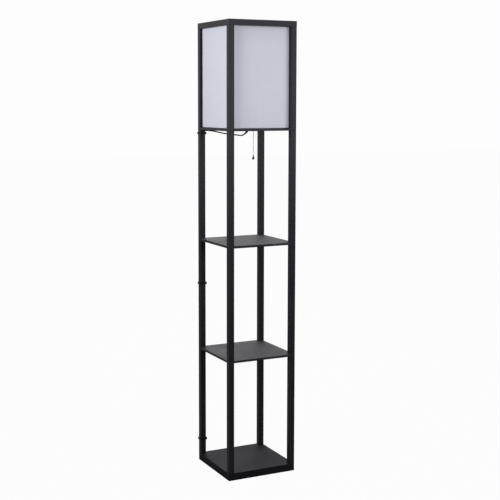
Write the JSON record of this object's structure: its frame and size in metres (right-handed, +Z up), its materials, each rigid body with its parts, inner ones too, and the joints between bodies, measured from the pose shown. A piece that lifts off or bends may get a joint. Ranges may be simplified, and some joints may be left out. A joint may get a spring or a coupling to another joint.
{
  "type": "shelf floor lamp",
  "caption": "Tall square floor lamp: black post frame with open shelves, a pale fabric shade between the posts at the top and a bead pull chain under it.",
  "frame": {"origin": "on the floor under the middle of the square base", "axes": "+Z up along the posts; -Y is the face seen widest in the picture, -X the narrower one"},
  "size_m": [0.2629, 0.3039, 1.6],
  "materials": {
    "black_lacquer": "satin black lacquer on fibreboard and wood",
    "shade_fabric": "pale woven fabric on a stiff liner, matt",
    "ring_wire": "white coated wire",
    "plated_steel": "zinc plated",
    "brass": "plain brass",
    "black_steel": "black coated steel",
    "liner_card": "insulating card",
    "core_plastic": "moulded black",
    "dowel_wood": "plain beech",
    "nickel_chain": "nickel plated",
    "knob_plastic": "moulded black",
    "bulb_glass": "frosted",
    "bulb_cap_metal": "drawn",
    "lead_pvc": "black pvc",
    "tie_nylon": "black nylon"
  },
  "bodies": {
    "frame": {"bar_screws": "plated_steel", "base_bolts": "plated_steel", "base_slab": "black_lacquer", "cable_ties": "tie_nylon", "centre_contact": "brass", "chain_guide": "brass", "cord_hank": "lead_pvc", "cord_lead": "lead_pvc", "cord_relief": "lead_pvc", "cord_tail": "lead_pvc", "drum_pin": "plated_steel", "frame_dowels": "dowel_wood", "hank_tie": "tie_nylon", "holder_cap": "brass", "holder_core": "core_plastic", "holder_liner": "liner_card", "holder_shell": "brass", "joining_studs": "plated_steel", "lamp_deck": "black_lacquer", "lower_post_back_left": "black_lacquer", "lower_post_back_right": "black_lacquer", "lower_post_front_left": "black_lacquer", "lower_post_front_right": "black_lacquer", "lower_shelf": "black_lacquer", "middle_post_back_left": "black_lacquer", "middle_post_back_right": "black_lacquer", "middle_post_front_left": "black_lacquer", "middle_post_front_right": "black_lacquer", "mounting_nipple": "plated_steel", "nipple_nuts": "plated_steel", "plug_blades": "brass", "plug_body": "lead_pvc", "screw_shell": "brass", "shade_bottom_ring": "ring_wire", "shade_post_back_left": "black_lacquer", "shade_post_back_right": "black_lacquer", "shade_post_front_left": "black_lacquer", "shade_post_front_right": "black_lacquer", "shade_top_ring": "ring_wire", "shade_wrap": "shade_fabric", "socket_bar": "black_steel", "stud_inserts": "plated_steel", "top_rail_back": "black_lacquer", "top_rail_front": "black_lacquer", "top_rail_left": "black_lacquer", "top_rail_right": "black_lacquer", "upper_post_back_left": "black_lacquer", "upper_post_back_right": "black_lacquer", "upper_post_front_left": "black_lacquer", "upper_post_front_right": "black_lacquer", "upper_shelf": "black_lacquer"},
    "chain_top": {"pull_chain_top": "nickel_chain"},
    "chain_middle": {"pull_chain_middle": "nickel_chain"},
    "chain_lower": {"pull_chain_lower": "nickel_chain", "chain_connector": "nickel_chain", "pull_knob": "knob_plastic"},
    "drum": {"switch_drum": "core_plastic"},
    "bulb": {"bulb_glass": "bulb_glass", "bulb_cap": "bulb_cap_metal"}
  },
  "joints": [
    {"name": "chain_pull", "type": "slide", "parent": "frame", "child": "chain_top", "axis": [0, 0, -1], "range_m": [0, 0.008], "stiffness_N_per_m": 300, "springref_m": -0.003},
    {"name": "chain_swing_side", "type": "hinge", "parent": "chain_top", "child": "chain_middle", "pos_m": [0.028, 0, 1.24674], "axis": [0, 1, 0], "range_deg": [-45, 22]},
    {"name": "chain_swing_front", "type": "hinge", "parent": "chain_middle", "child": "chain_lower", "pos_m": [0.028, 0, 1.23854], "axis": [1, 0, 0], "range_deg": [-45, 45]},
    {"name": "drum_turn", "type": "hinge", "parent": "frame", "child": "drum", "pos_m": [0.005, 0, 1.2525], "axis": [0, 1, 0], "range_deg": [0, 135]},
    {"name": "bulb_lift", "type": "slide", "parent": "frame", "child": "bulb", "axis": [0, 0, 1], "range_m": [0, 0.026]}
  ],
  "couplings": [
    {"joint": "drum_turn", "follows": "chain_pull", "rad_per_m": 196.35}
  ]
}
